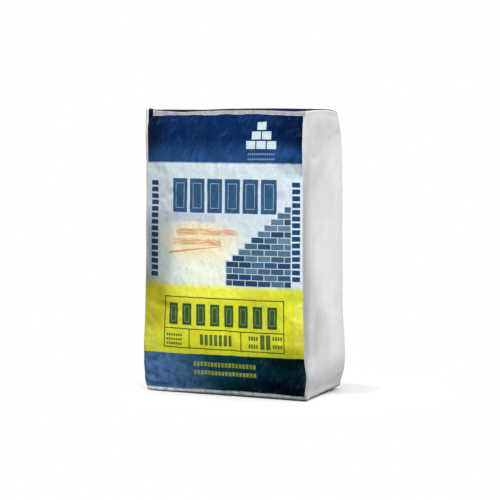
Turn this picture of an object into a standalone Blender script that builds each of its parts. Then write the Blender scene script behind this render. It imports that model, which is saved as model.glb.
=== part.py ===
"""A 50 kg cement sack standing on its block bottom.

Metres, +Z up. The origin is on the floor under the middle of the sack. The printed
front faces -Y, the filling valve is at the -X end of the top.
"""

import bpy
import numpy as np

# The filled sack at mid height, measured between its four upright creases
sack_width = 0.348
sack_depth = 0.184
sack_height = 0.560

# Round of every folded edge
edge_radius = 0.005

# How far each panel swells past its creases, and how soon after a folded end
front_swell = 0.012
back_swell = 0.010
side_swell = 0.004
panel_rise = 0.060

# The belly, where the powder has settled
belly_height = 0.075
belly_span = 0.075
belly_width_gain = 0.0030
belly_front_gain = 0.0030
belly_back_gain = 0.0080

# The front and back draw in towards the folded bottom, sharply on the front
foot_front_tuck = 0.0060
foot_front_span = 0.015
foot_back_tuck = 0.0080
foot_back_span = 0.028

# They draw in again towards the folded top, whose back corners have slumped
head_front_tuck = 0.0035
head_back_tuck = 0.0180
head_span = 0.040
top_crown = 0.0020
back_shoulder_drop = 0.0070

# The side panels: a flat facet tucked under a line that climbs from the front
# corner and levels off, and a triangle at each end where the swell starts late
side_tuck_start = -0.078
side_tuck_height = 0.055
side_tuck_reach = 0.045
side_tuck_slope = 0.070
triangle_height = 0.085

# Cover patches pasted over the folded ends, lapping on to the front and back
layer_gap = 0.0003
patch_thickness = 0.0005
top_lap = 0.0090
bottom_lap = 0.0096
valve_end_bare = 0.0180

# The flattened valve sleeve under the top patch
sleeve_width = 0.104
sleeve_length = 0.140
sleeve_thickness = 0.0008
sleeve_clearance = 0.0050

# Spacing of the grid lines that carry the shape, and how near one may come to
# a line that marks an edge, as a share of that spacing
grid_step_x = 0.029
grid_step_y = 0.024
grid_step_z = 0.023
nearest_share = 0.4
# Places closer than this are the same place
same_place = 1e-6

half_width = sack_width / 2
half_depth = sack_depth / 2
foot_level = patch_thickness + layer_gap
# Where the arc of a rounded edge is half way round, measured from its start
arc_middle = edge_radius * np.tan(np.radians(45 / 2))
patch_end = half_width - edge_radius + arc_middle
patch_valve_end = -half_width + valve_end_bare
# The drawn-in top narrows the front and back halves differently, so the sleeve's
# edges are set on the plain box where the narrowing brings them to its real width
sleeve_front = -sleeve_width / 2 * half_depth / (half_depth - head_front_tuck)
sleeve_back = sleeve_width / 2 * half_depth / (half_depth - head_back_tuck)
sleeve_start = -half_width + edge_radius
sleeve_end = sleeve_start + sleeve_length


def grid_lines(low, high, step, marks):
    """Positions from one face of the box to the other, with two more in each rounded edge."""
    first, last = low + edge_radius, high - edge_radius
    even = np.linspace(first, last, round((last - first) / step) + 1)
    clear = [p for p in even[1:-1] if min(abs(p - m) for m in marks) > nearest_share * step]
    return np.array(sorted({low, first - arc_middle, first, *clear, *marks, last, last + arc_middle, high}))


def rounded_box(x, y, z):
    """A point of the plain box moved on to the same box with rounded edges."""
    low = np.array([-half_width, -half_depth, foot_level]) + edge_radius
    high = np.array([half_width, half_depth, sack_height]) - edge_radius
    point = np.array([x, y, z])
    core = np.clip(point, low, high)
    away = point - core
    return core + away / np.linalg.norm(away) * edge_radius


def bump(distance, span):
    """A smooth hump: 1 at no distance, falling to nothing past twice the span."""
    return np.exp(-((distance / span) ** 2))


def rise(distance):
    """How much of a panel's full swell is reached at this distance from a folded end."""
    return 1 - np.exp(-max(distance, 0) / panel_rise)


def filled(x, y, z):
    """A point of the rounded box moved to where the powder pushes the sack wall."""
    across, through = x / half_width, y / half_depth
    above, below = z - foot_level, sack_height - z
    belly, head = bump(above - belly_height, belly_span), bump(below, head_span)

    if y < 0:
        foot = foot_front_tuck * bump(above, foot_front_span)
        depth_change = belly_front_gain * belly - foot - head_front_tuck * head
        panel_swell = front_swell
    else:
        foot = foot_back_tuck * bump(above, foot_back_span)
        depth_change = belly_back_gain * belly - foot - head_back_tuck * head
        panel_swell = back_swell
    panel = panel_swell * (1 - across**2) * rise(above) * rise(below)

    triangle = triangle_height * (1 - abs(through))
    side = side_swell * (1 - through**2) * rise(above - triangle) * rise(below - triangle)
    tuck_line = side_tuck_height * (1 - np.exp(-max(y - side_tuck_start, 0) / side_tuck_reach))
    side_tuck = side_tuck_slope * max(tuck_line - above, 0)

    crown = top_crown * (1 - across**2) * (1 - through**2)
    shoulder = back_shoulder_drop * max(through, 0) ** 3
    return np.array([
        across * (half_width + belly_width_gain * belly + side - side_tuck),
        through * (half_depth + depth_change + panel),
        z + head * (crown - shoulder),
    ])


def between(values, low, high):
    """True for each value from low to high, the two ends included."""
    return (values > low - same_place) & (values < high + same_place)


def box_surface(lines):
    """The vertices and quads of a box whose three families of grid lines are given."""
    counts = [len(family) for family in lines]
    index, places, quads = {}, [], []

    def vertex(key):
        if key not in index:
            index[key] = len(places)
            places.append([lines[axis][key[axis]] for axis in range(3)])
        return index[key]

    for axis in range(3):
        first, second = (axis + 1) % 3, (axis + 2) % 3
        for side in (0, counts[axis] - 1):
            for i in range(counts[first] - 1):
                for j in range(counts[second] - 1):
                    corners = [(i, j), (i + 1, j), (i + 1, j + 1), (i, j + 1)]
                    if side == 0:
                        corners.reverse()
                    quad = []
                    for a, b in corners:
                        key = [0, 0, 0]
                        key[axis], key[first], key[second] = side, a, b
                        quad.append(vertex(tuple(key)))
                    quads.append(quad)
    return np.array(places), quads


def triangles(quads):
    """Each quad cut along the diagonal from its lowest numbered corner."""
    cut = []
    for quad in quads:
        start = quad.index(min(quad))
        a, b, c, d = quad[start:] + quad[:start]
        cut += [(a, b, c), (a, c, d)]
    return cut


def material(name, colour, roughness):
    made = bpy.data.materials.new(name)
    made.use_nodes = True
    shader = made.node_tree.nodes["Principled BSDF"]
    shader.inputs["Base Color"].default_value = (*colour, 1)
    shader.inputs["Roughness"].default_value = roughness
    shader.inputs["Metallic"].default_value = 0
    return made


def add_object(name, vertices, faces, finish):
    """An object from these faces alone, without the vertices that they leave unused."""
    used = sorted({v for face in faces for v in face})
    new_number = {old: new for new, old in enumerate(used)}
    mesh = bpy.data.meshes.new(name)
    mesh.from_pydata(
        [tuple(vertices[v]) for v in used],
        [],
        [tuple(new_number[v] for v in face) for face in faces],
    )
    mesh.materials.append(finish)
    made = bpy.data.objects.new(name, mesh)
    bpy.context.scene.collection.objects.link(made)
    return made


def add_layer(name, vertices, faces, covered, thickness, finish):
    """A sheet over the covered part of a surface, lifted off it by the layer gap."""
    sheet = add_object(name, vertices, [f for f in faces if covered[list(f)].all()], finish)
    lift = sheet.modifiers.new("lift", "DISPLACE")
    lift.direction = "NORMAL"
    lift.mid_level = 0
    lift.strength = layer_gap
    wall = sheet.modifiers.new("wall", "SOLIDIFY")
    wall.thickness = thickness
    wall.offset = 1


for old in list(bpy.data.objects):
    bpy.data.objects.remove(old)

woven_plastic = material("printed_woven_plastic", (0.60, 0.66, 0.70), 0.45)
navy_patch = material("navy_patch", (0.010, 0.035, 0.090), 0.45)
white_patch = material("white_patch", (0.62, 0.64, 0.66), 0.50)
sleeve_film = material("sleeve_film", (0.55, 0.56, 0.56), 0.55)

# Grid lines also run along the edges of the patches and round the sleeve
lines = (
    grid_lines(-half_width, half_width, grid_step_x,
               [patch_valve_end, sleeve_end, sleeve_end + sleeve_clearance]),
    grid_lines(-half_depth, half_depth, grid_step_y,
               [sleeve_front - sleeve_clearance, sleeve_front, sleeve_back, sleeve_back + sleeve_clearance]),
    grid_lines(foot_level, sack_height, grid_step_z,
               [foot_level + bottom_lap, sack_height - top_lap]),
)
places, quads = box_surface(lines)
faces = triangles(quads)
skin = np.array([filled(*rounded_box(*place)) for place in places])
skin[:, 1] -= (skin[:, 1].min() + skin[:, 1].max()) / 2
x, y, z = places.T

# The sack, woven tube and powder as one solid, with a shallow bed for the sleeve
bed = between(z, sack_height, sack_height)
bed &= between(x, sleeve_start, sleeve_end) & between(y, sleeve_front, sleeve_back)
sack_skin = skin.copy()
sack_skin[bed, 2] -= sleeve_thickness + layer_gap
add_object("sack_body", sack_skin, faces, woven_plastic)

# The two cover patches, folded round the edges of the block ends
over_top = between(z, sack_height - top_lap, sack_height) & between(x, patch_valve_end, patch_end)
under_foot = between(z, foot_level, foot_level + bottom_lap) & between(x, -patch_end, patch_end)
add_layer("top_cover_patch", skin, faces, over_top, patch_thickness, navy_patch)
add_layer("bottom_cover_patch", skin, faces, under_foot, patch_thickness, white_patch)

# The valve sleeve, pressed flat in its bed
add_layer("valve_sleeve", sack_skin, faces, bed, sleeve_thickness, sleeve_film)

for obj in bpy.context.scene.objects:
    obj.data.shade_smooth()
    obj.data.set_sharp_from_angle(angle=np.radians(30))
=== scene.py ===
import math

import bpy
import numpy as np
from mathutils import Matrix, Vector


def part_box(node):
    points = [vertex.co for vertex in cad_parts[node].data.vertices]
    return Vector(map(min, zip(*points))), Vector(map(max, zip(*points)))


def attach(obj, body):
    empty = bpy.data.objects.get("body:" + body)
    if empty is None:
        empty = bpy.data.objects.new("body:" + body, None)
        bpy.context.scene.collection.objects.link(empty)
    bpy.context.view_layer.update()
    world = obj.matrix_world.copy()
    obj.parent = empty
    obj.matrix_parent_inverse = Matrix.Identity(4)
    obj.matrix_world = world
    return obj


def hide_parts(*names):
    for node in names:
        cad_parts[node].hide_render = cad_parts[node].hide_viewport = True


# A 50 kg cement sack: block-bottom valve sack of laminated woven polypropylene.
# Metres, +Z up, the printed front faces -Y and the valve is at the -X end of the top.

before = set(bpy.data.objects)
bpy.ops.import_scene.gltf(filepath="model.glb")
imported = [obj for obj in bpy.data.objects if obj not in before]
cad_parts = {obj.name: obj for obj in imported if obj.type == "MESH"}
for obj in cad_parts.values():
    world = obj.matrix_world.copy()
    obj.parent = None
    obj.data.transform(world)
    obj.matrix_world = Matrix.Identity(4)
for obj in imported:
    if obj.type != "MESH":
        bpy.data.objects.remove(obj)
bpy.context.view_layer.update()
sackLow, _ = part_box("sack_body")
print("sack: frame loaded")

mm = 0.001
toMm = 1000


# Small helpers

def linear(hexColour):
    # the linear values that shaders take, from a painter's sRGB hex
    parts = [int(hexColour[i:i + 2], 16) / 255 for i in (1, 3, 5)]
    return (*[c / 12.92 if c <= 0.04045 else ((c + 0.055) / 1.055) ** 2.4 for c in parts], 1)


shading = {}  # its "tree" is the node tree that is being filled


def addNode(kind, *inputs, out=0, **named):
    # one node: its inputs in order, None leaving one alone, or by name, and its settings, which have
    # no capital; a math node's kind names its operation too; returns the output asked for
    tree, (kind, *operation) = shading["tree"], kind.split()
    node = tree.nodes.new("ShaderNode" + kind)
    for name in operation:
        node.operation = name
    given = dict(enumerate(inputs))
    for name, value in named.items():
        if name[0].isupper():
            given[name] = value
        else:
            setattr(node, name, value)
    for key, value in given.items():
        if isinstance(value, bpy.types.NodeSocket):
            tree.links.new(value, node.inputs[key])
        elif value is not None:
            node.inputs[key].default_value = value
    return node.outputs[out] if node.outputs else node


def startNodes(owner):
    # empties the node tree of a material or world, where the next nodes go
    owner.use_nodes = True
    shading["tree"] = owner.node_tree
    shading["tree"].nodes.clear()
    return owner


def newMaterial(name):
    return startNodes(bpy.data.materials.new(name))


def bump(distance, span):
    # a smooth hump: 1 at no distance, falling to nothing past twice the span
    return np.exp(-(distance / span) ** 2)


def smoothStep(low, high, value):
    # 0 below low, 1 above high, an S curve between
    t = np.clip((value - low) / (high - low), 0, 1)
    return t * t * (3 - 2 * t)


def cellOf(lines, places):
    # the gap between two lines that each place is in, and its share of the way through it
    cell = np.clip(np.searchsorted(lines, places, side="right") - 1, 0, len(lines) - 2)
    return cell, (places - lines[cell]) / (lines[cell + 1] - lines[cell])


def makeMesh(name, points, quads, flat=None):
    # flat is one (u, v) for each corner of each quad
    mesh = bpy.data.meshes.new(name)
    mesh.vertices.add(len(points))
    mesh.vertices.foreach_set("co", np.ascontiguousarray(points, np.float32).ravel())
    mesh.loops.add(quads.size)
    mesh.loops.foreach_set("vertex_index", quads.astype(np.int32).ravel())
    mesh.polygons.add(len(quads))
    mesh.polygons.foreach_set("loop_start", np.arange(0, quads.size, 4, dtype=np.int32))
    mesh.update(calc_edges=True)
    mesh.polygons.foreach_set("use_smooth", np.ones(len(quads), bool))
    if flat is not None:
        layer = mesh.uv_layers.new(name="flatCloth")
        layer.data.foreach_set("uv", np.ascontiguousarray(flat, np.float32).ravel())
    piece = bpy.data.objects.new(name, mesh)
    bpy.context.scene.collection.objects.link(piece)
    return piece


# The filled sack's shape

sack = {
    "width": 348 * mm, "depth": 184 * mm, "top": 560 * mm, "edgeRound": 4 * mm, "fineStep": 3.3 * mm,
    "fineEdgeAngles": (15, 30, 45), "frontSwell": 12 * mm, "backSwell": 10 * mm, "sideSwell": 4 * mm,
    "swellRise": 60 * mm, "frontFullness": 3.2, "backFullness": 2.2,
}
belly = {"height": 75 * mm, "span": 75 * mm, "width": 3 * mm, "front": 3 * mm, "back": 8 * mm}
foot = {"frontTuck": 6.5 * mm, "frontReach": 5.5 * mm, "leftShare": 0.2, "fullFrom": -70 * mm,
        "backTuck": 5 * mm, "backSpan": 28 * mm,
        "sideLift": 4 * mm, "sideLiftGain": 2.5 * mm, "liftReach": 24 * mm, "liftHeight": 22 * mm}
head = {"frontTuck": 3.5 * mm, "backTuck": 18 * mm, "span": 40 * mm, "crown": 2 * mm, "backDrop": 7 * mm}
sidePanel = {
    "triangle": 85 * mm, "tuckStart": -78 * mm, "tuckHeight": 55 * mm, "tuckReach": 45 * mm,
    "tuckSlope": 0.055, "rightSwellShare": 0.3, "valley": 9 * mm, "valleyFrom": 0.8,
    "valleyPlace": -33 * mm, "valleyShift": 20 * mm,
    "valleyRange": (0 * mm, 110 * mm, 385 * mm, 548 * mm), "flare": 1.5 * mm,
}
# Slumps that the filled sack has settled into: where, how far they reach and which way they go, in mm
slumps = [
    ((-174, -92, 470), (60, 80, 60), (1.6, 0.6, 0)),
    ((-174, -92, 350), (60, 60, 95), (-0.4, 6.5, 0)),
    ((-174, -92, 190), (60, 60, 75), (-4.2, 6.5, 0)),
    ((-80, -60, 560), (75, 110, 26), (0, 0, -2.6)),
    ((-170, -92, 562), (10, 24, 14), (0, 0, 4.2)),
    ((174, 92, 40), (50, 50, 34), (1.2, 1.5, 0)),
    ((174, 92, 560), (40, 50, 24), (-1.6, 0, 0)),
    ((90, -92, 10), (130, 60, 60), (0, 4.0, 0)),
    ((60, -92, 330), (70, 30, 90), (0, -1.4, 0)),
    ((-70, -92, 190), (60, 30, 60), (0, -1.2, 0)),
    ((174, -92, 46), (70, 55, 26), (4.5, 0, 0)),
    ((-174, -92, 330), (60, 60, 50), (-2.0, 0, 0)),
    ((174, 92, 482), (60, 60, 40), (-1.0, 0, 0)),
    ((174, 92, 228), (60, 60, 50), (1.0, 0, 0)),
    ((-95, -60, 560), (26, 110, 26), (0, 0, -1.5)),
    ((-174, 40, 560), (45, 45, 26), (0, 0, -2.4)),
    ((150, -92, 560), (45, 34, 24), (0, 0, -2.8)),
    ((-174, -92, 4), (15, 50, 12), (3.4, 0, 1.6)),
]

halfWidth = sack["width"] / 2
halfDepth = sack["depth"] / 2
floorGap = sackLow.z


def gridLines(low, high, step, angles):
    # even lines from face to face, and one at each angle round each rounded edge
    r = sack["edgeRound"]
    stops = [r * (1 - math.tan(math.radians(a))) for a in angles]
    first, last = low + r, high - r
    even = np.linspace(first, last, round((last - first) / step) + 1)
    return np.array(sorted({*even, *[low + s for s in stops], *[high - s for s in stops]}))


def boxGrid(step, angles):
    # the plain box's surface cut by three families of lines: each face is a grid of corner numbers,
    # and a corner that two faces share has one number
    lines = [gridLines(low, high, step, angles) for low, high in
             ((-halfWidth, halfWidth), (-halfDepth, halfDepth), (floorGap, sack["top"]))]
    sizes = [len(family) for family in lines]
    codes = []
    for axis in range(3):
        b, c = (axis + 1) % 3, (axis + 2) % 3
        bIndex, cIndex = np.meshgrid(np.arange(sizes[b]), np.arange(sizes[c]), indexing="ij")
        for side in (0, sizes[axis] - 1):
            key = np.zeros((3, *bIndex.shape), int)
            key[axis], key[b], key[c] = side, bIndex, cIndex
            codes.append(np.ravel_multi_index(tuple(key), sizes))
    unique, inverse = np.unique(np.concatenate([c.ravel() for c in codes]), return_inverse=True)
    ends = np.cumsum([c.size for c in codes])[:-1]
    grids = [n.reshape(c.shape) for n, c in zip(np.split(inverse.ravel(), ends), codes)]
    index = np.unravel_index(unique, sizes)
    return lines, np.stack([lines[axis][index[axis]] for axis in range(3)], 1), grids


def gridQuads(numbers, flip=False):
    # the quads between the corners of a grid of numbers
    n = numbers[::-1] if flip else numbers
    return np.stack([n[:-1, :-1], n[1:, :-1], n[1:, 1:], n[:-1, 1:]], -1).reshape(-1, 4)


def roundBox(plain):
    # each point of the plain box moved on to the same box with rounded edges
    r = sack["edgeRound"]
    low = np.array([-halfWidth, -halfDepth, floorGap]) + r
    high = np.array([halfWidth, halfDepth, sack["top"]]) - r
    core = np.clip(plain, low, high)
    away = plain - core
    return core + away / np.linalg.norm(away, axis=1, keepdims=True) * r


def rise(distance):
    # the share of a panel's full swell reached at this distance from a folded end
    return 1 - np.exp(-np.maximum(distance, 0) / sack["swellRise"])


def valleyMove(y, z):
    # the right side panel falls from its front crease into a valley, steeply at first, and climbs
    # slowly to its back crease, where it flares out a little; this fades towards the folded ends
    low, lowEnd, highStart, high = sidePanel["valleyRange"]
    share = smoothStep(low, lowEnd, z) * smoothStep(high, highStart, z)
    # the valley runs back from the crease towards both ends, along the folded corners
    place = sidePanel["valleyPlace"] + sidePanel["valleyShift"] * (1 - share)
    fall = 1 - (1 - np.clip((y + halfDepth) / (place + halfDepth), 0, 1)) ** 2
    climb = smoothStep(place, halfDepth, y)
    return ((sidePanel["valley"] + sidePanel["flare"]) * climb - sidePanel["valley"] * fall) * share


def slumpMove(points):
    # the sum of the slumps: each fades with distance along x, y and z as a smooth hump
    moved = np.zeros_like(points)
    for at, reach, move in slumps:
        away = (points - np.array(at) * mm) / (np.array(reach) * mm)
        moved += np.exp(-(away ** 2).sum(1))[:, None] * np.array(move) * mm
    return moved


def fillSack(points, swell=1.0):
    # the rounded box pushed out by powder: front and back swell flat in the middle and steep at the
    # creases, as 1 - across^fullness, a belly is a hump near the floor, both folded ends draw in
    x, y, z = points.T
    across, through = x / halfWidth, y / halfDepth
    above, below = z - floorGap, sack["top"] - z
    bellyHump, headHump = bump(above - belly["height"], belly["span"]), bump(below, head["span"])
    front = y < 0
    tuckShare = foot["leftShare"] + (1 - foot["leftShare"]) * smoothStep(-halfWidth, foot["fullFrom"], x)
    footIn = np.where(front, tuckShare * foot["frontTuck"] * np.exp(-above / foot["frontReach"]),
                      foot["backTuck"] * bump(above, foot["backSpan"]))
    headIn = np.where(front, head["frontTuck"], head["backTuck"]) * headHump
    bellyOut = np.where(front, belly["front"], belly["back"]) * bellyHump
    panelOut = np.where(front, sack["frontSwell"], sack["backSwell"]) * swell
    panelOut *= 1 - abs(across) ** np.where(front, sack["frontFullness"], sack["backFullness"])
    depthOut = bellyOut - footIn - headIn + panelOut * rise(above) * rise(below)

    triangle = sidePanel["triangle"] * (1 - abs(through))
    sideOut = sack["sideSwell"] * (1 - through ** 2) * rise(above - triangle) * rise(below - triangle)
    rightOut = valleyMove(y, z) * smoothStep(sidePanel["valleyFrom"], 1, across)
    sideOut = np.where(x > 0, sidePanel["rightSwellShare"] * sideOut + rightOut, sideOut) * swell
    # the facet under the tuck line, which climbs from the front corner and levels off
    climbed = np.maximum(y - sidePanel["tuckStart"], 0)
    tuckLine = sidePanel["tuckHeight"] * (1 - np.exp(-climbed / sidePanel["tuckReach"]))
    tuckIn = sidePanel["tuckSlope"] * np.maximum(tuckLine - above, 0)

    crown = head["crown"] * (1 - across ** 2) * (1 - through ** 2)
    drop = head["backDrop"] * np.maximum(through, 0) ** 3
    # the block bottom's ends lift off the floor, a little more towards the back
    lift = foot["sideLift"] + foot["sideLiftGain"] * through
    lift *= bump(halfWidth - abs(x), foot["liftReach"]) * bump(above, foot["liftHeight"])
    lift *= smoothStep(-halfDepth, -halfDepth + foot["liftReach"], y)
    return np.stack([
        across * (halfWidth + belly["width"] * bellyHump + sideOut - tuckIn),
        through * (halfDepth + depthOut),
        z + headHump * (crown - drop) + lift,
    ], 1) + slumpMove(points)


def flatPlaces(plain):
    # where each corner lies on the tube laid flat, one layout for each face of the box: u runs
    # round the tube from the front's middle, v runs up it and on over the folded ends
    turn = sack["depth"] + sack["width"]
    x, y, z = plain.T
    return [(-halfWidth - (y + halfDepth), z), (halfWidth + (y + halfDepth), z), (x, z), (turn - x, z),
            (x, floorGap - (y + halfDepth)), (x, sack["top"] + (y + halfDepth))]


def sackQuads(plain, grids):
    # every quad of the box grid, facing out, with the flat place of each of its corners
    quads, flats = [], []
    for number, (grid, (u, v)) in enumerate(zip(grids, flatPlaces(plain))):
        quads.append(gridQuads(grid, flip=number % 2 == 0))
        flats.append(np.stack([u[quads[-1]], v[quads[-1]]], -1))
    return np.concatenate(quads), np.concatenate(flats)


# The cloth: the powder blows up the slack woven wall while the sack is set down

cloth = {
    "step": 8 * mm, "edgeAngles": (22.5, 45), "frames": 30, "settleFrames": 12, "settle": 3 * mm,
    "twist": math.radians(-0.5), "heldFoot": 12 * mm, "heldHead": 8 * mm, "calmSteps": 60,
    "gain": (0.2, 0.55, 1.0), "cap": 4.5 * mm, "meanFade": 60 * mm, "creaseShare": 0.35,
    "creaseFrom": (0.78, 0.5),
}
# The same in Blender's own names; the mass is each corner's, with its share of powder
clothSettings = {
    "quality": 6, "mass": 0.15, "tension_stiffness": 60, "compression_stiffness": 60,
    "shear_stiffness": 20, "bending_stiffness": 0.1, "use_pressure": True, "uniform_pressure_force": 6,
    "vertex_group_mass": "block ends", "pin_stiffness": 1, "shrink_min": -0.012,
}


def calm(values, quads, steps):
    # each corner drawn half way to the mean of its neighbours, again and again
    pairs = np.concatenate([quads[:, [k, (k + 1) % 4]] for k in range(4)])
    a, b = np.concatenate([pairs, pairs[:, ::-1]]).T
    count = np.bincount(a, minlength=len(values))[:, None]
    for _ in range(steps):
        sums = np.stack([np.bincount(a, values[b, k], len(values)) for k in range(3)], 1)
        values = 0.5 * values + 0.5 * sums / count
    return values


def blownMove(plain, quads, start):
    # Blender's cloth on the empty tube: the foot and the head's fold are held by the block ends,
    # which settle and turn a little; returns how far each corner moved
    above, below = plain[:, 2] - floorGap, sack["top"] - plain[:, 2]
    share = above / sack["top"]
    c, s = np.cos(cloth["twist"] * share), np.sin(cloth["twist"] * share)
    x, y, z = start.T
    settled = np.stack([x * c - y * s, x * s + y * c, z - cloth["settle"] * share], 1)
    tube = makeMesh("cloth tube", start, quads)
    held = tube.vertex_groups.new(name=clothSettings["vertex_group_mass"])
    isHeld = (above < cloth["heldFoot"]) | (below < cloth["heldHead"])
    held.add(np.flatnonzero(isHeld).tolist(), 1.0, "REPLACE")
    tube.shape_key_add(name="Basis")
    key = tube.shape_key_add(name="settled")
    key.data.foreach_set("co", settled.astype(np.float32).ravel())
    for value, frameNumber in ((0, 1), (1, cloth["settleFrames"])):
        key.value = value
        key.keyframe_insert("value", frame=frameNumber)

    modifier = tube.modifiers.new("cloth", "CLOTH")
    for name, value in clothSettings.items():
        setattr(modifier.settings, name, value)
    modifier.settings.effector_weights.gravity = 0
    modifier.point_cache.frame_start = 1
    modifier.point_cache.frame_end = cloth["frames"]
    for number in range(1, cloth["frames"] + 1):
        bpy.context.scene.frame_set(number)
    blown = np.zeros(start.size, np.float32)
    done = tube.evaluated_get(bpy.context.evaluated_depsgraph_get())
    done.data.vertices.foreach_get("co", blown)
    action = tube.data.shape_keys.animation_data.action
    bpy.data.objects.remove(tube)
    bpy.data.actions.remove(action)
    bpy.context.scene.frame_set(1)
    return blown.reshape(-1, 3) - start


def splineWeights(old, new):
    # the natural cubic spline through values at the old places, as a matrix that gives those at the
    # new ones: its second derivatives solve the usual three-band equations
    gaps, count = np.diff(old), len(old)
    inner = np.arange(1, count - 1)
    bands, slopes = np.eye(count), np.zeros((count, count))
    for side, gap in ((-1, gaps[:-1]), (1, gaps[1:])):
        bands[inner, inner + side], slopes[inner, inner + side] = gap / 6, 1 / gap
        slopes[inner, inner] -= 1 / gap
    bands[inner, inner] = (gaps[:-1] + gaps[1:]) / 3
    curving = np.linalg.solve(bands, slopes)
    cell, right = cellOf(old, new)
    left, rows = 1 - right, np.arange(len(new))
    weights = np.zeros((len(new), count))
    weights[rows, cell], weights[rows, cell + 1] = left, right
    for corner, share in ((cell, left), (cell + 1, right)):
        weights += ((share ** 3 - share) * gaps[cell] ** 2 / 6)[:, None] * curving[corner]
    return weights


def withoutMean(wrinkle, plain):
    # less the mean of each upright line of corners, so that wrinkles come and go along a crease
    # without drawing the whole crease in
    share = smoothStep(0, cloth["meanFade"], np.minimum(plain[:, 2], sack["top"] - plain[:, 2]))
    _, line = np.unique(plain[:, :2].round(6), axis=0, return_inverse=True)
    line = line.ravel()
    total = np.stack([np.bincount(line, wrinkle[:, k] * share) for k in range(3)], 1)
    weight = np.bincount(line, share * share)[:, None]
    return wrinkle - (total / np.maximum(weight, 1e-9))[line] * share[:, None]


def clothWrinkles(fineLines, finePlain, fineGrids):
    # the wrinkles are what the cloth did beyond its own calmed move: capped, and carried to the fine
    # grid by a spline along each direction of each face
    lines, plain, grids = boxGrid(cloth["step"], cloth["edgeAngles"])
    quads, _ = sackQuads(plain, grids)
    move = blownMove(plain, quads, fillSack(roundBox(plain), swell=0))
    wrinkle = withoutMean(move - calm(move, quads, cloth["calmSteps"]), plain) * cloth["gain"]
    wrinkle = cloth["cap"] * np.tanh(wrinkle / cloth["cap"])
    wrinkle *= smoothStep(0, cloth["heldFoot"], plain[:, 2] - floorGap)[:, None]
    # the four upright creases are stiffer than the panels
    atCrease = smoothStep(cloth["creaseFrom"][0], 1, abs(plain[:, 0]) / halfWidth)
    atCrease = atCrease * smoothStep(cloth["creaseFrom"][1], 1, abs(plain[:, 1]) / halfDepth)
    wrinkle *= (1 - (1 - cloth["creaseShare"]) * atCrease)[:, None]
    weights = [splineWeights(lines[axis], fineLines[axis]) for axis in range(3)]
    carried = np.zeros_like(finePlain)
    for number, (grid, fineGrid) in enumerate(zip(grids, fineGrids)):
        b, c = (number // 2 + 1) % 3, (number // 2 + 2) % 3
        carried[fineGrid] = np.einsum("ib,bcd,jc->ijd", weights[b], wrinkle[grid], weights[c])
    print("sack: cloth blown up, wrinkles up to", round(abs(wrinkle).max() * toMm, 1), "mm")
    return carried


# Small folds that handling has left in the stiff film, each a soft straight crease, by face of the
# box: count, angle with its scatter, then the ranges of u, v, length, width and depth, in mm

creaseGroups = [
    (2, 46, (78, 26), (-168, 168), (462, 542), (12, 46), (2.4, 4.6), (0.10, 0.45)),
    (2, 40, (62, 40), (-170, 170), (18, 90), (10, 40), (2.6, 5.5), (0.12, 0.55)),
    (2, 46, (90, 60), (-168, 168), (90, 462), (14, 60), (3.0, 7.0), (0.06, 0.30)),
    (3, 90, (90, 50), (364, 700), (20, 540), (12, 55), (2.6, 6.0), (0.08, 0.45)),
    (1, 14, (82, 30), (184, 350), (30, 540), (40, 120), (7.0, 14.0), (0.10, 0.40)),
    (0, 14, (98, 30), (-350, -184), (30, 540), (40, 120), (7.0, 14.0), (0.10, 0.40)),
]
# The few larger creases, given one by one, as (face, u, v, angle, length, width, depth)
namedCreases = [
    (1, 209, 504, -55, 58, 5.5, 0.3),
    (1, 300, 500, 62, 60, 7.0, 0.3),
    (0, -250, 505, 60, 55, 5.0, 0.8),
]
creaseFade = 9 * mm
creaseSeed = 50


def creaseMove(finePlain, fineGrids):
    # inward move of every corner: the sum over the creases of depth * hump across * hump along
    random = np.random.default_rng(creaseSeed)
    table = [[], [], [], []]
    for face, count, angle, *ranges in creaseGroups:
        tilt = random.normal(*angle, count)
        u, v, *rest = [random.uniform(*span, count) for span in ranges]
        table[face] += np.stack([u, v, tilt, *rest], 1).tolist()
    for face, *row in namedCreases:
        table[face].append(row)
    moves = np.zeros_like(finePlain)
    outward = ((-1, 0, 0), (1, 0, 0), (0, -1, 0), (0, 1, 0))
    for direction, creases, grid, layout in zip(outward, table, fineGrids, flatPlaces(finePlain)):
        u, v = layout[0][grid], layout[1][grid]
        inset = np.minimum(np.minimum(u - u.min(), u.max() - u), np.minimum(v - v.min(), v.max() - v))
        total = np.zeros(grid.shape)
        for cu, cv, angle, length, width, depth in creases:
            du, dv = u - cu * mm, v - cv * mm
            c, s = math.cos(math.radians(angle)), math.sin(math.radians(angle))
            along, across = du * c + dv * s, dv * c - du * s
            total += depth * mm * bump(across, width * mm) * bump(along, length * mm / 2)
        total *= smoothStep(0, creaseFade, inset)
        moves[grid] -= total[..., None] * np.array(direction)
    return moves


# The flattened valve sleeve lies in a shallow bed of the folded top

sleeve = {
    "start": -169 * mm, "end": -29 * mm, "front": -54 * mm, "back": 54 * mm, "thickness": 0.8 * mm,
    "wall": 0.22 * mm, "gap": 0.3 * mm, "edgeFade": 4 * mm, "roundLines": 72, "alongLines": 40,
    "wave": 1.2 * mm, "waveLength": 23 * mm,
}


def bedShare(x, y):
    # 1 over the sleeve, fading to 0 past its edges
    inset = (x - sleeve["start"], sleeve["end"] - x, y - sleeve["front"], sleeve["back"] - y)
    return np.prod([smoothStep(-sleeve["edgeFade"], 0, depth) for depth in inset], axis=0)


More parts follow.
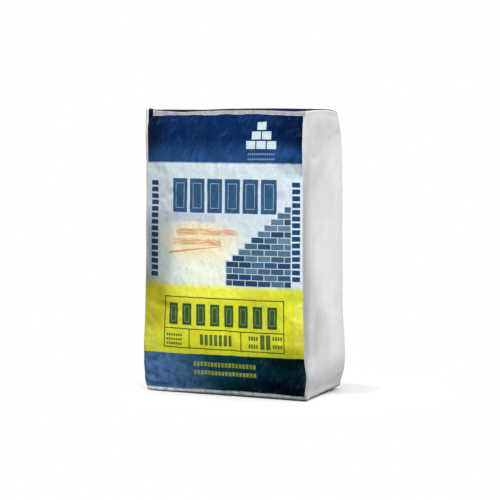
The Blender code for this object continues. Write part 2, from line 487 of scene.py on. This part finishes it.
lines, plain, grids = boxGrid(sack["fineStep"], sack["fineEdgeAngles"])
skin = fillSack(roundBox(plain))
middle = (skin[:, 1].min() + skin[:, 1].max()) / 2
skin += clothWrinkles(lines, plain, grids)
skin += creaseMove(plain, grids)
skin[:, 1] -= middle
coverSkin = skin.copy()
topFace = grids[5]
bed = bedShare(plain[topFace, 0], plain[topFace, 1])
skin[topFace, 2] -= (sleeve["thickness"] + sleeve["gap"]) * bed
quads, flats = sackQuads(plain, grids)
sackPiece = makeMesh("printed_sack", skin, quads, flats)
print("sack: body made,", len(quads) * 2, "triangles")


# The cover patches, pasted over the folded ends

patch = {
    "lift": 0.35 * mm, "thickness": 0.5 * mm, "topStart": -156 * mm, "topEnd": 172.6 * mm,
    "bottomReach": 172 * mm, "backWave": 1.0 * mm, "sleeveSwell": 0.45 * mm, "readPastLap": 1.6,
    "lapLines": 8, "extraLines": 20,
}
# How far each patch laps on to the front, in millimetres, at places along its width
topLaps = [
    (-160, 11.2), (-138, 10.2), (-115, 7.9), (-81, 7.2), (-59, 7.8), (-36, 9.3), (-14, 9.1), (4, 7.7),
    (31, 9.5), (54, 7.8), (88, 8.7), (122, 8.5), (144, 8.9), (174, 10.6)]
bottomLaps = [
    (-174, 8.4), (-115, 7.9), (-92, 7.7), (-47, 9.8), (0, 9.8), (31, 10.8), (65, 10.2), (110, 10.1),
    (144, 9.1), (174, 9.2)]


def lapWave(x, seed):
    # a slow uneven wave from -1 to 1 along a cut edge: three sines with seeded phases
    random = np.random.default_rng(seed)
    return sum(share * np.sin(x / (length * mm) * 2 * math.pi + random.uniform(0, 6.28))
               for share, length in ((0.5, 190), (0.32, 83), (0.18, 37)))


def sampleSkin(points, rowPlaces, columnPlaces, row, column):
    # the surface of a grid of points at any place on it, linear between the lines
    i, a = cellOf(rowPlaces, row)
    j, b = cellOf(columnPlaces, column)
    a, b = a[..., None], b[..., None]
    low, high = [points[k, j] * (1 - b) + points[k, j + 1] * b for k in (i, i + 1)]
    return low * (1 - a) + high * a


def closedSheet(name, inner, outer, flat):
    # two grids of points joined round their rim to one thin closed sheet; the outer one faces out
    rows, columns = outer.shape[:2]
    numbers = np.arange(rows * columns).reshape(rows, columns)
    under = numbers + rows * columns
    rim = ((numbers[0], under[0]), (under[-1], numbers[-1]), (under[:, 0], numbers[:, 0]),
           (numbers[:, -1], under[:, -1]))
    strips = [gridQuads(np.stack(pair), flip=True) for pair in rim]
    sheetQuads = np.concatenate([gridQuads(numbers, flip=True), gridQuads(under), *strips])
    places = np.concatenate([flat.reshape(-1, 2)] * 2)
    points = np.concatenate([outer.reshape(-1, 3), inner.reshape(-1, 3)])
    return makeMesh(name, points, sheetQuads, places[sheetQuads])


def foldedPatch(name, atTop, xStart, xEnd, laps, seed):
    # a sheet that follows the sack up the front, over the folded end and down the back, with edges
    # that wander as cut ones do
    laps, depth = np.array(laps) * mm, sack["depth"]
    lap = laps[:, 1].mean()
    endFace = grids[5] if atTop else grids[4]
    inward = sack["top"] - lines[2] if atTop else lines[2] - floorGap
    rows = np.flatnonzero(inward <= lap * patch["readPastLap"])
    rows = rows[np.argsort(-inward[rows])]
    columns = np.flatnonzero((lines[0] > xStart) & (lines[0] < xEnd))
    path = np.concatenate([grids[2][rows], endFace.T[1:-1], grids[3][rows[::-1]]])
    places = np.concatenate([-inward[rows], lines[1][1:-1] + halfDepth, depth + inward[rows[::-1]]])

    # the walk: from -1 to 0 over the front's lap, to 1 over the folded end, to 2 over the back's lap
    xs = np.concatenate([[xStart], lines[0][columns], [xEnd]])
    wander = splineWeights(laps[:, 0], xs) @ laps[:, 1]
    backWander = lap + patch["backWave"] * lapWave(xs, seed)
    steps = np.unique(np.concatenate([
        np.linspace(-1, 0, patch["lapLines"]), np.linspace(0, 1, len(lines[1]) + patch["extraLines"]),
        np.linspace(1, 2, patch["lapLines"])]))[:, None]
    walk = np.where(steps < 0, steps * wander,
                    np.where(steps > 1, depth + (steps - 1) * backWander, steps * depth))
    xGrid = np.broadcast_to(xs, walk.shape)
    base = sampleSkin(coverSkin[path], places, lines[0], walk, xGrid)
    # the sheet is raised along the normals: the grid's rows cross its columns
    normal, raised = np.cross(np.gradient(base, axis=0), np.gradient(base, axis=1)), patch["lift"]
    normal = normal / np.linalg.norm(normal, axis=-1, keepdims=True)
    if atTop:
        normal = -normal
        raised = raised + patch["sleeveSwell"] * bedShare(base[..., 0], base[..., 1] + middle)
    inner = base + normal * np.atleast_1d(raised)[..., None]
    grown = [inner, inner + normal * patch["thickness"], np.stack([xGrid, walk], -1)]
    return closedSheet(name, *(grown if atTop else [points[::-1] for points in grown]))


topPatch = foldedPatch("top_patch", True, patch["topStart"], patch["topEnd"], topLaps, 4)
bottomPatch = foldedPatch("bottom_patch", False, -patch["bottomReach"], patch["bottomReach"], bottomLaps, 9)
print("sack: patches made")


def valveSleeve():
    # a film tube pressed flat: its section is a long oval, its wall runs from the mouth along the
    # outside to the inner end and back along the inside
    turn = np.linspace(0, 2 * math.pi, sleeve["roundLines"], endpoint=False)
    outwards = np.linspace(sleeve["start"], sleeve["end"], sleeve["alongLines"])
    along = np.concatenate([outwards, outwards[::-1]])[:, None]
    shrink = np.repeat([0, sleeve["wall"]], sleeve["alongLines"])[:, None]
    # a squared-off oval: cosine and sine drawn out towards 1 by the fourth and the square root
    wide, high = [np.sign(wave) * abs(wave) ** power for wave, power in
                  ((np.cos(turn), 0.25), (np.sin(turn), 0.5))]
    y = wide * ((sleeve["back"] - sleeve["front"]) / 2 - shrink)
    x = np.broadcast_to(along, y.shape) + sleeve["wave"] * np.sin(y / sleeve["waveLength"])
    points = sampleSkin(skin[topFace], lines[0], lines[1], x, y)
    points[..., 2] += high * (sleeve["thickness"] / 2 - shrink)
    points[..., 2] += sleeve["thickness"] / 2 + sleeve["gap"] / 2
    numbers = np.arange(y.size).reshape(y.shape)
    ring = np.concatenate([numbers, numbers[:1]])
    sleeveQuads = gridQuads(np.concatenate([ring, ring[:, :1]], 1))
    flat = np.stack([points[..., 0], y], -1).reshape(-1, 2)
    return makeMesh("valve_sleeve_film", points.reshape(-1, 3), sleeveQuads, flat[sleeveQuads])


sleevePiece = valveSleeve()
print("sack: valve sleeve made")


# Print masks: each returns 1 where the ink lies at a place in millimetres

def withinMask(away, half, soft=0.7):
    # 1 where both distances from a centre are within the half sizes, by the larger one past them
    away = addNode("VectorMath ABSOLUTE", away)
    away = addNode("VectorMath SUBTRACT", away, half)
    x, y, _ = addNode("SeparateXYZ", away).node.outputs
    far = addNode("Math MAXIMUM", x, y)
    return addNode("MapRange", far, soft / 2, -soft / 2)


def blockMask(place, low, high, soft=0.7):
    # a block from corner low to corner high
    centre = ((low[0] + high[0]) / 2, (low[1] + high[1]) / 2, 0)
    half = ((high[0] - low[0]) / 2, (high[1] - low[1]) / 2, 0)
    return withinMask(addNode("VectorMath SUBTRACT", place, centre), half, soft)


def rowMask(place, low, high, pitch, size):
    # equal blocks side by side at a pitch, from corner low, cut off at corner high
    half = (size[0] / 2, size[1] / 2, 0)
    cell = place
    for step, value in (("SUBTRACT", (*low, 0)), ("MODULO", (*pitch, 1)), ("SUBTRACT", half)):
        cell = addNode("VectorMath " + step, cell, value)
    return both(withinMask(cell, half), blockMask(place, low, high))


def both(a, b):
    return addNode("Math MULTIPLY", a, b)


def without(a, b):
    # a where b isn't
    return both(a, addNode("Math SUBTRACT", 1.0, b))


def laid(under, ink, mask, strength=1.0, blend="MIX"):
    # a colour laid over another, or multiplied into it, where the mask is
    if strength < 1:
        mask = both(mask, strength)
    # the two colours come after a mix node's five inputs for numbers and vectors
    return addNode("Mix", mask, *[None] * 5, under, ink, out=2, data_type="RGBA", blend_type=blend)


inks = {name: linear(shade) for name, shade in {
    "base": "#d3e2ea", "cream": "#f8ffec", "warm": "#ffecb6", "lavender": "#b9c2da", "navy": "#002654",
    "navyLight": "#2a5a94", "lowLeftWithSheen": "#49719f", "lowMiddle": "#043c48", "lowRight": "#001c2b",
    "yellow": "#e3e632", "yellowGlow": "#f6f752", "letterBlue": "#2f5a80", "columnBlue": "#1f416b",
    "bottleGreen": "#27543a", "rule": "#424f10", "orange": "#dfa26b", "brickDark": "#24456b",
    "brickLight": "#6d93a8", "joint": "#cfdde0", "olive": "#a3ad3a", "paleYellow": "#ece9a0",
    "bare": "#e5e6e7",
}.items()}
# Bands across the front, from the floor up, in millimetres
bands = {"bottom": 0, "lowTop": 82.5, "lowTilt": 0.011, "yellowTop": 217.5, "whiteTop": 456.5, "far": 900}
# The print's left and right edge, a little askew: place at the floor, lean and softness inwards
printEdges = [(-173.7, 0.0125, 0.4), (170.6, -0.006, -0.4)]
# Lighter ovals in an ink: ink, centre, half size, full share, strength
whiteGlows = [("cream", (-24, 262), (122, 112), 0.3, 1.0), ("warm", (-52, 306), (112, 56), 0.25, 0.8)]
yellowGlow = ((-30, 208), (135, 26), 0.3)
# Soft ovals of painted shade, darkening the print and the film where they turn away from the light at
# the creases and swollen edges or face down, and dimming spots the lamps light too brightly: centre and
# half size on the flat tube, and the tint to multiply by
printPaintedShade = [
    ((-184, 285), (54, 122), "#bac2c6"),
    ((-135, 290), (38, 112), "#e2e2de"),
    ((-162, 178), (64, 80), "#d8cfa0"),
    ((-188, 520), (66, 76), "#b4bcbc"),
    ((-150, 525), (34, 62), "#c4ced6"),
    ((186, 505), (34, 112), "#8ca2ac"),
    ((172, 532), (86, 62), "#9ab4be"),
    ((180, 250), (13, 330), "#dcdee0"),
    ((158, 112), (34, 52), "#e4dcd2"),
    ((160, 452), (62, 30), "#d9dcde"),
    ((0, 84), (420, 32), "#eceee4"),
    ((130, 84), (70, 30), "#dfe1c4"),
    ((92, 160), (78, 64), "#eceeea"),
    ((150, 205), (46, 22), "#eaeee8"),
    ((95, 10), (130, 42), "#8a9298"),
]
# painted shade on the side panel's bare film: over the crease's highlight, in the valley beside it and
# towards both ends
filmPaintedShade = [
    ((173.5, 280), (8, 620), "#dfdfdf"),
    ((173.5, 215), (8, 330), "#dedede"),
    ((188, 290), (32, 330), "#f1f1f1"),
    ((215, 150), (62, 140), "#eeeeee"),
    ((266, 580), (150, 130), "#f0f0f0"),
    ((300, 0), (135, 88), "#e6e7e8"),
    ((264, 112), (46, 84), "#efefef"),
    ((268, 400), (66, 84), "#f4f4f4"),
]
# Rows of equal blocks printed on the bands: low and high corner, pitch and size of the blocks
motifs = {
    "bigBricks": ((-106, 359.5), (118, 426), (38.3, 80), (32.5, 66.5)),
    "bigFrogs": ((-99.5, 368), (112, 417.5), (38.3, 80), (19.5, 49.5)),
    "bigFrogsIn": ((-98.3, 369.2), (111, 416.3), (38.3, 80), (17.1, 47.1)),
    "leftColumn": ((-158.5, 231), (-142, 423), (30, 12.9), (16.5, 9.6)),
    "rightColumn": ((148, 231), (164, 422), (30, 12.9), (16, 9.6)),
    "greenBlocks": ((-114, 138), (119, 181), (30.4, 60), (19.8, 43)),
    "greenInner": ((-109.6, 144), (119, 175), (30.4, 60), (11, 31)),
    "greenInnerIn": ((-108.4, 145.2), (119, 173.8), (30.4, 60), (8.6, 28.6)),
}
# Small marks in the frame's cells, the margins, the low and the top band: ink, strength, the same
markRows = [
    ("bottleGreen", 0.88, (-119, 97.5), (-85, 121), (5.1, 8.6), (3.9, 5.0)),
    ("bottleGreen", 0.88, (-45, 100), (22.7, 121.6), (10.2, 40), (7.0, 21.6)),
    ("bottleGreen", 0.88, (59, 99), (78, 125), (5.1, 15.5), (3.9, 8.5)),
    ("bottleGreen", 0.88, (82.5, 98), (104.7, 127), (12.2, 60), (9.6, 29)),
    ("bottleGreen", 0.88, (108.6, 101), (129, 126), (5.3, 15.5), (4.0, 7.5)),
    ("paleYellow", 0.25, (-161.5, 91), (-144.5, 189), (30, 10.5), (17, 7.5)),
    ("paleYellow", 0.25, (152.5, 109), (169, 193), (30, 10.5), (16.5, 7.5)),
    ("olive", 0.8, (-60, 58), (72.5, 67), (7.4, 60), (5.6, 9)),
    ("olive", 0.8, (-60, 41), (72.5, 49.5), (7.4, 60), (5.6, 8.5)),
    ("base", 0.35, (57, 463), (113, 476), (4.4, 9.6), (3.2, 3.2)),
]
wall = {"left": 12, "foot": 219, "width": 134, "course": 12.0, "brick": 26.8, "joint": 1.5, "outline": 2.2,
        "fullCourses": 3, "courses": 13.5}
whiteBricks = {"middle": 84, "foot": 484, "rise": 18.4, "pitch": 21.6, "joint": 2.4, "height": 15.4}


def brickWall(place):
    # a wall under construction in running bond: its left side steps up to the right by half a
    # brick for each course; returns its mask, its outline's mask and its brick colour
    at = addNode("VectorMath SUBTRACT", place, (wall["left"], wall["foot"], 0))

    def steps(point):
        # 1 to the right of the stepped edge, whose place follows from the course's number
        x, edge, _ = addNode("SeparateXYZ", point).node.outputs
        for step, value in (("DIVIDE", wall["course"]), ("FLOOR", 0), ("SUBTRACT", wall["fullCourses"]),
                            ("MAXIMUM", 0), ("MULTIPLY", wall["brick"] / 2)):
            edge = addNode("Math " + step, edge, value)
        return addNode("MapRange", addNode("Math SUBTRACT", x, edge), -0.35, 0.35)

    width, height, line = wall["width"], wall["courses"] * wall["course"], wall["outline"]
    mask = both(steps(at), blockMask(at, (0, 0), (width, height)))
    moved = addNode("VectorMath ADD", at, (line, -line, 0))
    outline = both(steps(moved), blockMask(at, (-line, 0), (width + line, height + line)))
    # after the colours: scale, width and softness of the joints, bias to dark, and a brick's size
    return mask, outline, addNode(
        "TexBrick", at, inks["brickDark"], inks["brickLight"], inks["joint"], 1.0, wall["joint"] / 2, 0.1,
        -0.15, wall["brick"], wall["course"], offset=0.5, offset_frequency=2)


def cloudy(at, spread, **noise):
    # soft noise; its values between the first two of spread run from 0 to 1, or between its last two
    return addNode("MapRange", addNode("TexNoise", at, **noise), *spread)


def ovalMask(place, centre, reach, full=0.45):
    # 1 from an oval's middle to a share of its half size, then fading to 0 at its rim
    away = addNode("VectorMath SUBTRACT", place, (*centre, 0))
    away = addNode("VectorMath MULTIPLY", away, (1 / reach[0], 1 / reach[1], 0))
    away = addNode("VectorMath LENGTH", away, out="Value")
    return addNode("MapRange", away, 1.0, full, interpolation_type="SMOOTHSTEP")


def shaded(place, under, shades):
    # a colour darkened by painted shade: multiplied by each shade's tint within its oval
    for centre, reach, tint in shades:
        under = laid(under, linear(tint), ovalMask(place, centre, reach), blend="MULTIPLY")
    return under


def uneven(place, under, grain, swing):
    # ink laid on unevenly, in leaning streaks of about the grain's width and length
    at = addNode("Mapping", place, Rotation=(0, 0, -0.4), Scale=(*grain, 1), vector_type="TEXTURE")
    depth = cloudy(at, (0.35, 0.65, 1 - swing, 1 + swing), Scale=1.0, Detail=3, Roughness=0.6, Distortion=0.6)
    return laid(under, depth, 1.0, blend="MULTIPLY")


def printColour(place):
    # one face's print, from its ground up to its smallest marks, with painted shade over it
    made, far = inks["base"], bands["far"]
    x, y, _ = addNode("SeparateXYZ", place).node.outputs

    def lay(ink, mask, strength=1.0):
        # the next ink over all that is printed so far
        nonlocal made
        made = laid(made, ink, mask, strength)

    def block(*corners):
        return blockMask(place, *corners)

    def rowOf(name):
        return rowMask(place, *motifs[name])

    for name, centre, reach, full, strength in whiteGlows:
        lay(inks[name], ovalMask(place, centre, reach, full), strength)
    for low, high in (((-125, 342), (-12, 359)), ((112, 388), (136, 405))):
        lay(inks["lavender"], block(low, high, 5), 0.6)

    # the top band's ink is lighter towards its lower edge
    paler = addNode("MapRange", y, 508, 462, 0, 0.6, interpolation_type="SMOOTHSTEP")
    navy = uneven(place, laid(inks["navy"], inks["navyLight"], paler), (9, 34), 0.22)
    lay(navy, block((-far, bands["whiteTop"]), (far, far), 4))
    sunny = laid(inks["yellow"], inks["yellowGlow"], ovalMask(place, *yellowGlow))
    lay(sunny, block((-far, bands["bottom"]), (far, bands["yellowTop"]), 13))
    # the low band runs from a lighter blue at the left, partly the print's tone and partly a painted
    # reflection of the white floor, to a full blue-black at the right, and its upper edge was printed a
    # little askew
    lowInk = inks["lowLeftWithSheen"]
    for name, start, end in (("lowMiddle", -125, 5), ("lowRight", 25, 132)):
        share = addNode("MapRange", x, start, end, interpolation_type="SMOOTHSTEP")
        lowInk = laid(lowInk, inks[name], share)
    level = addNode("CombineXYZ", x, addNode("Math MULTIPLY_ADD", x, -bands["lowTilt"], y))
    lay(uneven(place, lowInk, (16, 13), 0.3), blockMask(level, (-far, -far), (far, bands["lowTop"]), 1.2))

    # big upright bricks, each with its frog drawn as a thin line
    lay(uneven(place, inks["letterBlue"], (9, 30), 0.16), rowOf("bigBricks"))
    lay(inks["joint"], without(rowOf("bigFrogs"), rowOf("bigFrogsIn")), 0.55)
    for name in ("leftColumn", "rightColumn"):
        lay(inks["columnBlue"], rowOf(name))

    # the wall, with a pale outline round its steps
    wallMask, outline, bricks = brickWall(place)
    lay(inks["base"], outline)
    lay(bricks, wallMask)

    # dry orange brush strokes that break up in streaks, and a thin one that tapers as it climbs
    for low, high, seed in (((-97, 316), (37, 328), 3), ((-106, 296), (1, 308), 11)):
        streaks = addNode("Mapping", place, (seed, seed * 3.7, 0), Scale=(0.035, 0.55, 1))
        broken = cloudy(streaks, (0.40, 0.52), Scale=1.0, Detail=3)
        lay(inks["orange"], both(block(low, high, 2.4), broken), 0.85)
    apart = addNode("Math SUBTRACT", y, addNode("Math MULTIPLY_ADD", x, 0.127, 294.7))
    half = addNode("MapRange", x, -116, 12, 2.2, 0.3)
    within = addNode("Math SUBTRACT", half, addNode("Math ABSOLUTE", apart))
    within = addNode("MapRange", within, -0.4, 0.4)
    lay(inks["orange"], both(within, block((-116, 270), (12, 306), 1)), 0.9)

    # the ruled frame on the yellow band, its blocks and the small marks
    lay(inks["rule"], without(block((-125, 92), (133, 194)), block((-122.8, 94.2), (130.8, 191.8))), 0.95)
    for low, high in (((-124, 129.4), (132, 131.6)), ((-69.6, 93), (-67.4, 130)), ((41.9, 93), (44.1, 130))):
        lay(inks["rule"], block(low, high), 0.95)
    lay(uneven(place, inks["bottleGreen"], (7, 20), 0.18), rowOf("greenBlocks"), 0.98)
    lay(inks["yellow"], without(rowOf("greenInner"), rowOf("greenInnerIn")), 0.35)
    for ink, strength, *row in markRows:
        lay(inks[ink], rowMask(place, *row), strength)

    # three courses of plain white bricks in the top band
    pitch, joint, height = whiteBricks["pitch"], whiteBricks["joint"], whiteBricks["height"]
    for course, count in enumerate((3, 2, 1)):
        reach, under = (count * pitch - joint) / 2, whiteBricks["foot"] + course * whiteBricks["rise"]
        low, high = (whiteBricks["middle"] - reach, under), (whiteBricks["middle"] + reach, under + height)
        lay(inks["base"], rowMask(place, low, high, (pitch, 60), (pitch - joint, height)), 0.9)
    # painted shade in soft ovals over the whole print
    return shaded(place, made, printPaintedShade)


def wovenFilm(place, crinkle):
    # the relief of laminated woven tape: tapes about 2.5 mm wide pass over and under each other,
    # drawn 4 mm wide so that the weave shows; above them the thin film is crumpled
    tape = 4.0
    scaled = addNode("VectorMath SCALE", place, Scale=1 / tape)
    checks = addNode("TexChecker", scaled, Scale=1.0, out="Fac")
    waves = addNode("VectorMath SCALE", scaled, Scale=math.pi)
    waves = addNode("VectorMath ABSOLUTE", addNode("VectorMath SINE", waves))
    x, y, _ = addNode("SeparateXYZ", waves).node.outputs
    weave = addNode("Mix", checks, None, x, y)
    stretched = addNode("Mapping", place, Scale=(0.075, 0.035, 1))
    crumple = addNode("TexNoise", stretched, Scale=1.0, Detail=5, Roughness=0.6, Distortion=0.8)
    facets = addNode("TexVoronoi", place, Scale=0.045, Smoothness=0.3, feature="SMOOTH_F1")
    relief = None
    for height, strength, depth in ((weave, 0.25, 0.12), (crumple, crinkle, 2.2), (facets, crinkle, 1.2)):
        relief = addNode("Bump", Height=height, Strength=strength, Distance=depth * mm, Normal=relief)
    return relief, crumple


def flatPlace():
    # the place on the flat tube in millimetres
    return addNode("VectorMath SCALE", addNode("UVMap", uv_map="flatCloth"), Scale=toMm)


def withCreaseHighlights(place, under):
    # ink laid a little unevenly, with painted highlights along fine straight lines, standing in for light
    # caught by the film's fine creases
    under = uneven(place, under, (8, 8), 0.06)
    where = cloudy(place, (0.42, 0.62), Scale=0.021, Detail=2)
    for tilt, seed in ((-0.45, 0), (-1.15, 40)):
        at = addNode("Mapping", place, (seed, 0, 0), (0, 0, tilt), (5, 34, 1), vector_type="TEXTURE")
        streaks = cloudy(at, (0.54, 0.72, 0, 0.08), Scale=1.0, Detail=4, Roughness=0.65, Distortion=0.4)
        under = laid(under, linear("#9fbadd"), both(streaks, where))
    return under


def printedWovenPolypropylene():
    # woven polypropylene tape under a thin clear film, printed in solid inks: to the eye a satin
    # sheen that breaks up on a crumpled, faintly woven surface
    made = newMaterial("printed woven polypropylene")
    place = flatPlace()
    x, y, _ = addNode("SeparateXYZ", place).node.outputs
    turn = (sack["depth"] + sack["width"]) * toMm
    # the back carries the same print as the front, half a turn round the tube
    onBack = addNode("Math GREATER_THAN", x, turn / 2)
    facePlace = addNode("CombineXYZ", addNode("Math MULTIPLY_ADD", onBack, -turn, x), y)
    # the print wanders a little, as on cloth that gave way under the rollers
    wander = addNode("TexNoise", place, Scale=0.03, Detail=2, out="Color")
    wander = addNode("VectorMath SUBTRACT", wander, (0.5, 0.5, 0.5))
    wander = addNode("VectorMath SCALE", wander, Scale=1.6)
    printPlace = addNode("VectorMath ADD", facePlace, wander)
    # painted crease highlights go over the print
    printed = withCreaseHighlights(place, printColour(printPlace))
    # cement dust rubbed into the white film, under ovals of painted shade
    dust = cloudy(place, (0.35, 0.8, 0, 0.35), Scale=0.018, Detail=4)
    white = shaded(place, laid(inks["bare"], linear("#c9cacb"), dust), filmPaintedShade)
    x, y, _ = addNode("SeparateXYZ", printPlace).node.outputs
    onFace = blockMask(printPlace, (-400, -5), (400, 590))
    for atFoot, tilt, soft in printEdges:
        level = addNode("Math MULTIPLY_ADD", y, -tilt, x)
        onFace = both(onFace, addNode("MapRange", level, atFoot - soft, atFoot + soft))
    colour = laid(white, printed, onFace)
    # the side panels, pulled tight, are much smoother than the front and back
    crinkle = addNode("MapRange", onFace, 0, 1, 0.28, 0.65)
    normal, crumple = wovenFilm(place, crinkle)
    # paler on the crumple's ridges: a painted highlight where the ridges would catch the light, with ink worn
    # there too
    ridgeWearAndHighlight = addNode("MapRange", crumple, 0.58, 0.85, 0, 0.12)
    colour = laid(colour, linear("#6f9cc8"), both(ridgeWearAndHighlight, onFace))
    rough = addNode("MapRange", crumple, 0.3, 0.7, 0.34, 0.46)
    addNode("OutputMaterial", addNode("BsdfPrincipled", colour, Roughness=rough, Normal=normal, IOR=1.49,
                                      **{"Specular IOR Level": 0.25}))
    return made


def patchCloth(name, ground, margin, inkFrom, start, end, shades=()):
    # the same laminated cloth as a cover patch: bare white at its laps and ends, solid ink between,
    # with darker spots where the heated press pinched it
    made = newMaterial(name)
    place = flatPlace()
    # the bare white darkened by painted shade in any ovals given
    white = shaded(place, linear(margin), shades)
    stretched = addNode("Mapping", place, Scale=(0.09, 0.04, 1))
    pinched = cloudy(stretched, (0.47, 0.62, 0, 0.42), Scale=1.0, Detail=2)
    white = laid(white, linear("#7f8685"), pinched)
    inked = blockMask(place, (start, inkFrom), (end, sack["depth"] * toMm - inkFrom), 1.0)
    ink = withCreaseHighlights(place, uneven(place, linear(ground), (30, 60), 0.2))
    normal, _ = wovenFilm(place, 0.8)
    colour = laid(white, ink, inked)
    addNode("OutputMaterial", addNode("BsdfPrincipled", colour, Roughness=0.42, Normal=normal, IOR=1.49))
    return made


def milkyFilm():
    # low-density polyethylene film pressed flat: milky, slightly clouded, matt
    made = newMaterial("milky polyethylene film")
    clouds = addNode("TexNoise", flatPlace(), Scale=0.06, Detail=3)
    colour = laid(linear("#d5d8d8"), linear("#bfc4c6"), clouds)
    creased = addNode("Bump", Height=clouds, Strength=0.6, Distance=0.8 * mm)
    addNode("OutputMaterial", addNode("BsdfPrincipled", colour, Roughness=0.55, Normal=creased, IOR=1.51))
    return made


topCloth = patchCloth("navy cover patch", "#0b2038", "#a9aeb4", -0.4, patch["topStart"] * toMm + 3,
                      patch["topEnd"] * toMm + 3)
# the bottom patch's white lap gets painted shade over its right part, where it turns under from the light
bottomCloth = patchCloth("white cover patch", "#d6dad9", "#f8fdff", 0, -patch["bottomReach"] * toMm,
                         patch["bottomReach"] * toMm, [((95, -5), (200, 400), "#dadedd")])
for piece, node, slotName, finish in (
        (sackPiece, "sack_body", "printed_sack", printedWovenPolypropylene()),
        (topPatch, "top_cover_patch", "top_patch", topCloth),
        (bottomPatch, "bottom_cover_patch", "bottom_patch", bottomCloth),
        (sleevePiece, "valve_sleeve", "valve_film", milkyFilm())):
    piece.data.materials.append(finish)
    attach(piece, "root")
    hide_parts(node)
print("sack: finishes on")


# Camera, light and floor

camera = {"azimuth": 25.4, "elevation": 4.45, "distance": 3.474, "lens": 125.3,
          "aimRight": 11.8 * mm, "aimUp": 0.8 * mm}
studio = {"skyLight": 0.26, "groundLight": 0.05, "mirrored": 0.02,
          "floor": "#dcdcdd", "floorPaintedShadow": "#bcbcbd", "paintedShadowEnd": ((0.19, 0.10, 0), 0.045, 0.11),
          "floorEnd": ((0.08, 0.03, 0), 0.2, 0.35), "floorReach": 12}
# Name, kind, place, place aimed at, power, whether it is mirrored, and what its kind needs
lights = [
    ("overhead", "SUN", (0, 0, 3), (0.1, 0.15, 0), 2.7, False, {"angle": math.radians(100)}),
    ("keySoftbox", "AREA", (2.5, -2.15, 2.4), (0, 0, 0.3), 170, False, {"size": 1.2}),
    ("backSoftbox", "AREA", (-0.9, 3.6, 1.6), (0, 0, 0.3), 90, False, {"size": 1.8}),
    ("sheenSoftbox", "AREA", (-2.7, -1.5, 0.5), (0, 0, 0.25), 4.5, True,
     {"shape": "RECTANGLE", "size": 0.7, "size_y": 1.4}),
]


def placed(name, data, at, towards):
    # an object at a place, turned to look along a direction
    made = bpy.data.objects.new(name, data)
    made.location = at
    made.rotation_mode = "QUATERNION"
    made.rotation_quaternion = towards.to_track_quat("-Z", "Y")
    bpy.context.scene.collection.objects.link(made)
    return made


def addCamera():
    azimuth, elevation = math.radians(camera["azimuth"]), math.radians(camera["elevation"])
    back = Vector((math.sin(azimuth) * math.cos(elevation), -math.cos(azimuth) * math.cos(elevation),
                   math.sin(elevation)))
    right = Vector((math.cos(azimuth), math.sin(azimuth), 0))
    aim = Vector((0, 0, sack["top"] / 2)) + right * camera["aimRight"] + back.cross(right) * camera["aimUp"]
    data = bpy.data.cameras.new("camera")
    data.lens = camera["lens"]
    data.sensor_width = 36
    bpy.context.scene.camera = placed("camera", data, aim + back * camera["distance"], -back)


def addStudio():
    # white to the eye; as light, brighter from the sky than from under the floor, and dim where it
    # would be mirrored, so that the dark inks stay deep
    white = (1, 1, 1, 1)
    bpy.context.scene.world = startNodes(bpy.data.worlds.new("studio"))
    up = addNode("SeparateXYZ", addNode("TexCoord", out="Generated"), out="Z")
    level = addNode("MapRange", up, -0.2, 0.5, studio["groundLight"], studio["skyLight"])
    path = addNode("LightPath").node.outputs
    dim = addNode("Mix", path["Is Glossy Ray"], None, level, studio["mirrored"])
    seen = addNode("MixShader", path["Is Camera Ray"], addNode("Background", white, dim),
                   addNode("Background", white, 1.0))
    addNode("OutputWorld", seen)

    corners = studio["floorReach"] * np.array([(-1, -1, 0), (1, -1, 0), (1, 1, 0), (-1, 1, 0)])
    floorPiece = makeMesh("studio_floor", corners, np.array([[0, 1, 2, 3]]))
    # a pale floor, darker in a painted shadow beside the side panel, that runs out into plain white
    made = newMaterial("pale floor")
    at = addNode("TexCoord", out="Object")

    def beyond(name):
        # 0 near a place on the floor, 1 farther off
        centre, near, far = studio[name]
        away = addNode("VectorMath DISTANCE", at, centre, out="Value")
        return addNode("MapRange", away, near, far, interpolation_type="SMOOTHSTEP")

    # the painted shadow: the floor's colour darkens towards the side panel
    pale = laid(linear(studio["floorPaintedShadow"]), linear(studio["floor"]), beyond("paintedShadowEnd"))
    shader = addNode("MixShader", beyond("floorEnd"), addNode("BsdfDiffuse", pale),
                     addNode("Emission", white, 1.0))
    addNode("OutputMaterial", shader)
    floorPiece.data.materials.append(made)
    floorPiece.visible_diffuse = False
    floorPiece.visible_glossy = False


addCamera()
for name, kind, place, aim, power, mirrored, settings in lights:
    data = bpy.data.lights.new(name, kind)
    data.energy = power
    for setting, value in settings.items():
        setattr(data, setting, value)
    made = placed(name, data, place, Vector(aim) - Vector(place))
    made.visible_camera = False
    made.visible_glossy = mirrored
addStudio()
bpy.context.scene.view_settings.view_transform = "Standard"
